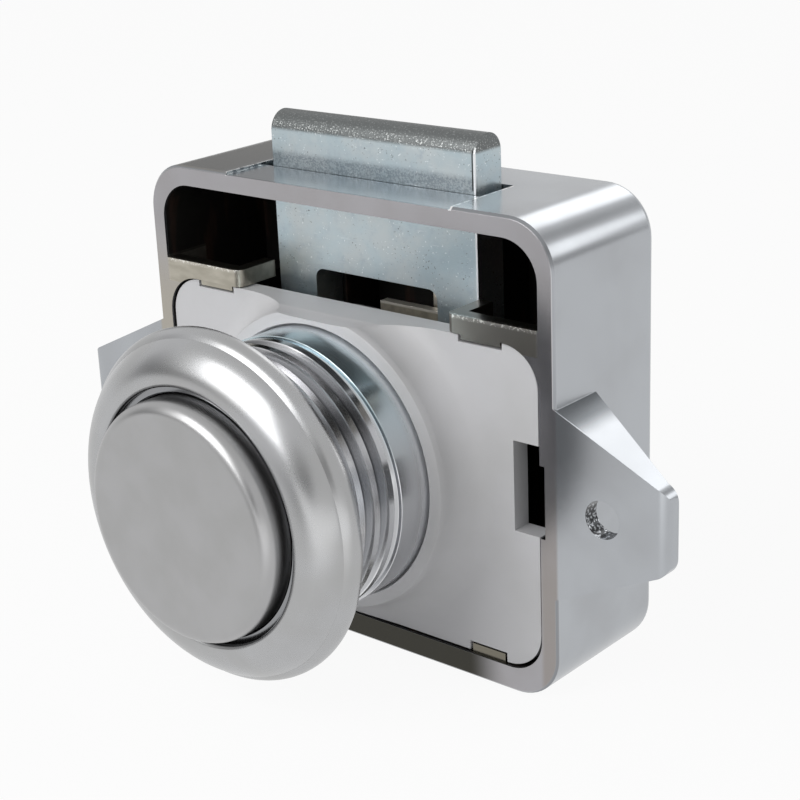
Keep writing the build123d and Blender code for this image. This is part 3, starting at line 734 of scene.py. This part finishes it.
# Its right edge is outlined by painted light: a dark line painted as shade, and a painted highlight on the
# corner
front_face = 1.0 - zinc.y.rise(4.14, 4.24)
dark_line = zinc.x.within(9.22, 9.30, 0.03) * front_face * zinc.z.rise(top_z + 0.1, top_z + 0.3)
zinc_colour = zinc.mix(dark_line, zinc_colour, (0.04, 0.04, 0.04))
zinc_colour = zinc.mix(zinc.x.rise(9.32, 9.38) * front_face, zinc_colour, (0.95, 0.97, 0.98))
zinc.feed("Base Color", zinc_colour)
zinc.feed("Roughness", 0.26 + cloud * 0.10 + blot * 0.10)
zinc.bump(blot * 1.5 + grit * (0.8 + crown * 2.0) + speck * 0.7 - glint * 0.7, 0.008)
dress(bolt, zinc, "bolt")

# The studio: a pale floor under the lock, a soft box above and in front of it, and a pale room whose
# reflections have bright and dark patches. Camera rays see plain white beyond it all.
lamp_way = Vector((-0.21, -0.79, 0.57)).normalized()
floor_finish = bpy.data.materials.new("pale_floor")
floor_finish.use_nodes = True
paper = Tree(floor_finish.node_tree)
paper.tree.nodes.remove(paper.tree.nodes["Principled BSDF"])
path = paper.add("ShaderNodeLightPath", out="Is Camera Ray")
clear = path.most(path.output("Is Transmission Ray"))
glossy = path.output("Is Glossy Ray")
where = paper.add("ShaderNodeSeparateXYZ", None, {0: paper.add("ShaderNodeNewGeometry", out="Position")})
far_edge = (1.0 - where.output("Y").rise(-0.11, -0.05)) * where.output("X").rise(-0.06, -0.02)
right_side = where.output("X").rise(0.005, 0.035) * (1.0 - where.output("Y").rise(-0.06, -0.02))
lit = 0.92 - far_edge * (1.0 - right_side) * 0.6 + right_side * 0.55
shade = paper.add("ShaderNodeBsdfDiffuse", None, {"Color": (0.9, 0.9, 0.9, 1)})
glow = paper.add("ShaderNodeEmission", None, {"Color": (1, 1, 1, 1), "Strength": clear + (1.0 - clear) * lit})
mixed = paper.add("ShaderNodeMixShader", None, {0: clear * 0.93 + glossy * 0.9, 1: shade, 2: glow})
paper.tree.links.new(mixed.socket, paper.tree.nodes["Material Output"].inputs[0])
floor_gap = 0.05 * MM
bpy.ops.mesh.primitive_plane_add(size=4.0, location=(0, 0, cad_box[0].z - floor_gap))
floor = bpy.context.object
floor.name = "floor"
floor.data.materials.append(floor_finish)

room = bpy.data.worlds.new("studio")
bpy.context.scene.world = room
room.use_nodes = True
air = Tree(room.node_tree)
path = air.add("ShaderNodeLightPath", out="Is Camera Ray")
clear = path.most(path.output("Is Transmission Ray"))
glossy = path.output("Is Glossy Ray")
direction = air.add("ShaderNodeTexCoord", out="Generated")
height = air.add("ShaderNodeSeparateXYZ", None, {0: direction}).output("Z")


def facing(towards):
    """The cosine of the angle to a direction."""
    ray = Vector(towards).normalized()
    sockets = {0: direction, 1: tuple(ray)}
    return air.add("ShaderNodeVectorMath", {"operation": "DOT_PRODUCT"}, sockets, out="Value")


def patch(towards, wide, soft):
    """1 inside wide degrees of a direction, fading to 0 over soft degrees more."""
    return facing(towards).rise(math.cos(math.radians(wide + soft)), math.cos(math.radians(wide)))


# Two bright patches, and three dark ones as (share taken off, direction, degrees wide, degrees soft)
reflected = 0.78 + patch((-0.20, 0.79, 0.58), 11, 6) * 1.5 + patch((0.54, 0.79, 0.30), 5, 6) * 1.2
dark_patches = (
    (0.35, (0.30, 0.79, 0.53), 3, 5),
    (0.5, (0.61, 0.79, 0.0), 3, 7),
    (0.6, (-0.76, 0.62, 0.19), 7, 8),
)
for taken, towards, wide, soft in dark_patches:
    reflected = reflected * (1.0 - taken * patch(towards, wide, soft))
# Dark surroundings of the soft box, widest below it
surround = facing(lamp_way).within(0.60, 0.77, 0.09)
reflected = reflected * (1.0 - 0.8 * surround * (1.0 - height.rise(0.1, 0.65)))
around = 0.40
strength = clear + glossy * reflected + (1.0 - clear.most(glossy)) * around
backdrop = room.node_tree.nodes["Background"]
backdrop.inputs["Color"].default_value = (1, 1, 1, 1)
air.tree.links.new(strength.socket, backdrop.inputs["Strength"])

soft_box = bpy.data.lights.new("soft_box", "AREA")
soft_box.energy = 0.95
soft_box.size = 0.32
lamp_distance = 0.42
soft_lamp = bpy.data.objects.new("soft_box", soft_box)
aim = Vector((0, -0.005, 0.0))
soft_lamp.location = aim + lamp_way * lamp_distance
soft_lamp.rotation_euler = (aim - soft_lamp.location).to_track_quat("-Z", "Y").to_euler()
bpy.context.scene.collection.objects.link(soft_lamp)
